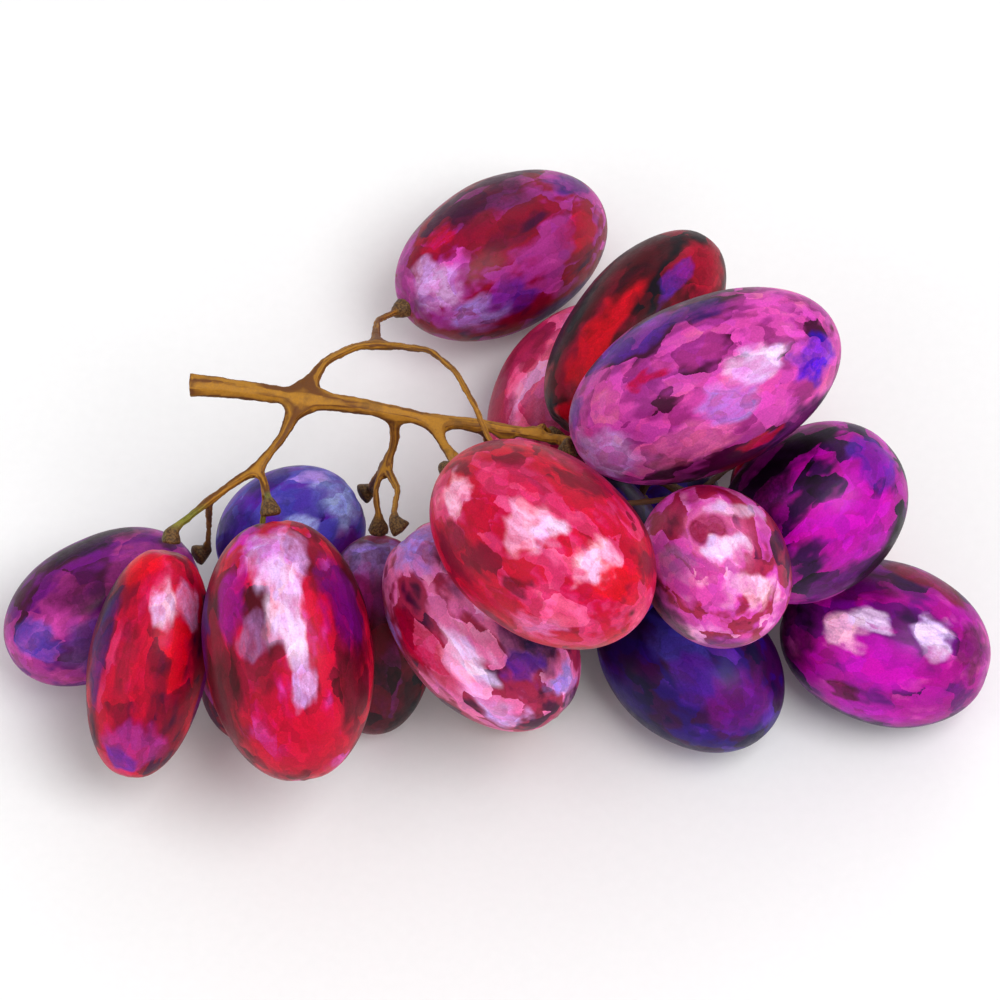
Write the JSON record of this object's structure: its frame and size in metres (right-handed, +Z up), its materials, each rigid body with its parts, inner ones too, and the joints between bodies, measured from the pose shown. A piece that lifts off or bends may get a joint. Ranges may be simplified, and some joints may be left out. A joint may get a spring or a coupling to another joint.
{
  "type": "bunch of grapes",
  "caption": "Small bunch of oval red-purple table grapes on a branching green stem, lying on a level surface; food dressing for a table, bowl or market stall.",
  "frame": {"origin": "centre of the bunch's footprint box, on the surface that it rests on", "axes": "+X along the main stalk from its cut end to the berries, the longest extent; +Y from the front berries towards the berry at the end of the arching branch; +Z up"},
  "size_m": [0.0992, 0.0766, 0.0493],
  "materials": {
    "maroon_skin": "satin grape skin, very dark red with a thin waxy bloom",
    "crimson_skin": "satin grape skin, bright crimson streaked with maroon, thin waxy bloom",
    "magenta_skin": "satin grape skin, magenta shading to violet, thin waxy bloom",
    "plum_skin": "satin grape skin, plum purple with violet and pink areas, thin waxy bloom",
    "indigo_skin": "satin grape skin, violet-blue with a heavier pale bloom",
    "rose_skin": "satin grape skin, dusty rose with dark violet areas, thin waxy bloom",
    "green_stem": "rough olive-green stem, ochre and brown at the joints and the cut end"
  },
  "bodies": {
    "root": {"stem": "green_stem", "berry_01": "plum_skin", "berry_02": "crimson_skin", "berry_03": "plum_skin", "berry_04": "rose_skin", "berry_05": "magenta_skin", "berry_06": "magenta_skin", "berry_07": "crimson_skin", "berry_08": "indigo_skin", "berry_09": "crimson_skin", "berry_10": "rose_skin", "berry_11": "maroon_skin", "berry_12": "magenta_skin", "berry_13": "crimson_skin", "berry_14": "plum_skin", "berry_15": "indigo_skin", "berry_16": "plum_skin", "berry_17": "maroon_skin", "berry_18": "indigo_skin", "berry_19": "plum_skin", "berry_20": "indigo_skin", "berry_21": "maroon_skin", "berry_22": "plum_skin"}
  },
  "joints": []
}
